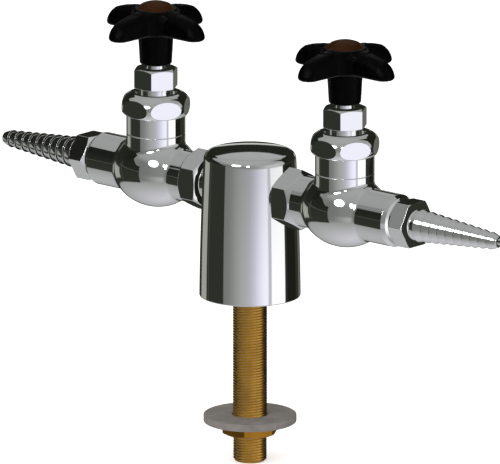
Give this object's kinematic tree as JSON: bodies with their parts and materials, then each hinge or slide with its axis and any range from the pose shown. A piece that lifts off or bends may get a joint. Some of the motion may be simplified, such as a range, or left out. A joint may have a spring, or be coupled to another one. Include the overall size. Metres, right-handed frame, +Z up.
{
  "type": "laboratory bench tap",
  "caption": "Deck-mounted laboratory tap: tapered turret on a threaded shank, opposed globe valves with cross handles and serrated hose nozzles.",
  "frame": {"origin": "centre of the turret's flat base rim, where the tap stands on the bench", "axes": "+Z up along the turret's axis, +X along the right-hand arm and its hose nozzle, +Y to the back"},
  "size_m": [0.3278, 0.0636, 0.2267],
  "materials": {
    "polished_chrome": "polished chrome plating on brass",
    "stem_chrome": "turned and chrome plated brass",
    "threaded_brass": "machined brass thread",
    "plain_brass": "turned brass",
    "washer_zinc": "dull zinc plated steel",
    "screw_steel": "stainless steel",
    "seal_rubber": "black nitrile rubber",
    "packing_plastic": "white fluoropolymer",
    "handle_nylon": "pebbled black moulded nylon",
    "button_plastic": "brown moulded plastic, half gloss"
  },
  "bodies": {
    "root": {"turret_body": "polished_chrome", "mounting_shank": "threaded_brass", "mounting_washer": "washer_zinc", "mounting_locknut": "threaded_brass", "right_valve_body": "polished_chrome", "right_valve_seat": "plain_brass", "right_outlet_nozzle": "polished_chrome", "right_bonnet": "stem_chrome", "right_bonnet_gasket": "seal_rubber", "right_bonnet_nut": "polished_chrome", "right_stem_packing": "packing_plastic", "right_packing_gland": "plain_brass", "right_packing_nut": "polished_chrome", "left_valve_body": "polished_chrome", "left_valve_seat": "plain_brass", "left_outlet_nozzle": "polished_chrome", "left_bonnet": "stem_chrome", "left_bonnet_gasket": "seal_rubber", "left_bonnet_nut": "polished_chrome", "left_stem_packing": "packing_plastic", "left_packing_gland": "plain_brass", "left_packing_nut": "polished_chrome"},
    "right_disc": {"right_disc_holder": "plain_brass", "right_seat_washer": "seal_rubber", "right_washer_screw": "screw_steel"},
    "right_spindle": {"right_stem": "stem_chrome", "right_handle": "handle_nylon", "right_handle_screw": "screw_steel", "right_index_button": "button_plastic"},
    "left_disc": {"left_disc_holder": "plain_brass", "left_seat_washer": "seal_rubber", "left_washer_screw": "screw_steel"},
    "left_spindle": {"left_stem": "stem_chrome", "left_handle": "handle_nylon", "left_handle_screw": "screw_steel", "left_index_button": "button_plastic"}
  },
  "joints": [
    {"name": "right_disc_lift", "type": "slide", "parent": "root", "child": "right_disc", "axis": [0, 0, 1], "range_m": [0, 0.0031]},
    {"name": "right_handle_turn", "type": "hinge", "parent": "right_disc", "child": "right_spindle", "pos_m": [0.0627, 0, 0.1104], "axis": [0, 0, 1], "range_deg": [0, 540]},
    {"name": "left_disc_lift", "type": "slide", "parent": "root", "child": "left_disc", "axis": [0, 0, 1], "range_m": [0, 0.0031]},
    {"name": "left_handle_turn", "type": "hinge", "parent": "left_disc", "child": "left_spindle", "pos_m": [-0.0627, 0, 0.1104], "axis": [0, 0, 1], "range_deg": [0, 540]}
  ],
  "couplings": [
    {"joint": "right_disc_lift", "follows": "right_handle_turn", "m_per_rad": 0.00031831},
    {"joint": "left_disc_lift", "follows": "left_handle_turn", "m_per_rad": 0.00031831}
  ]
}
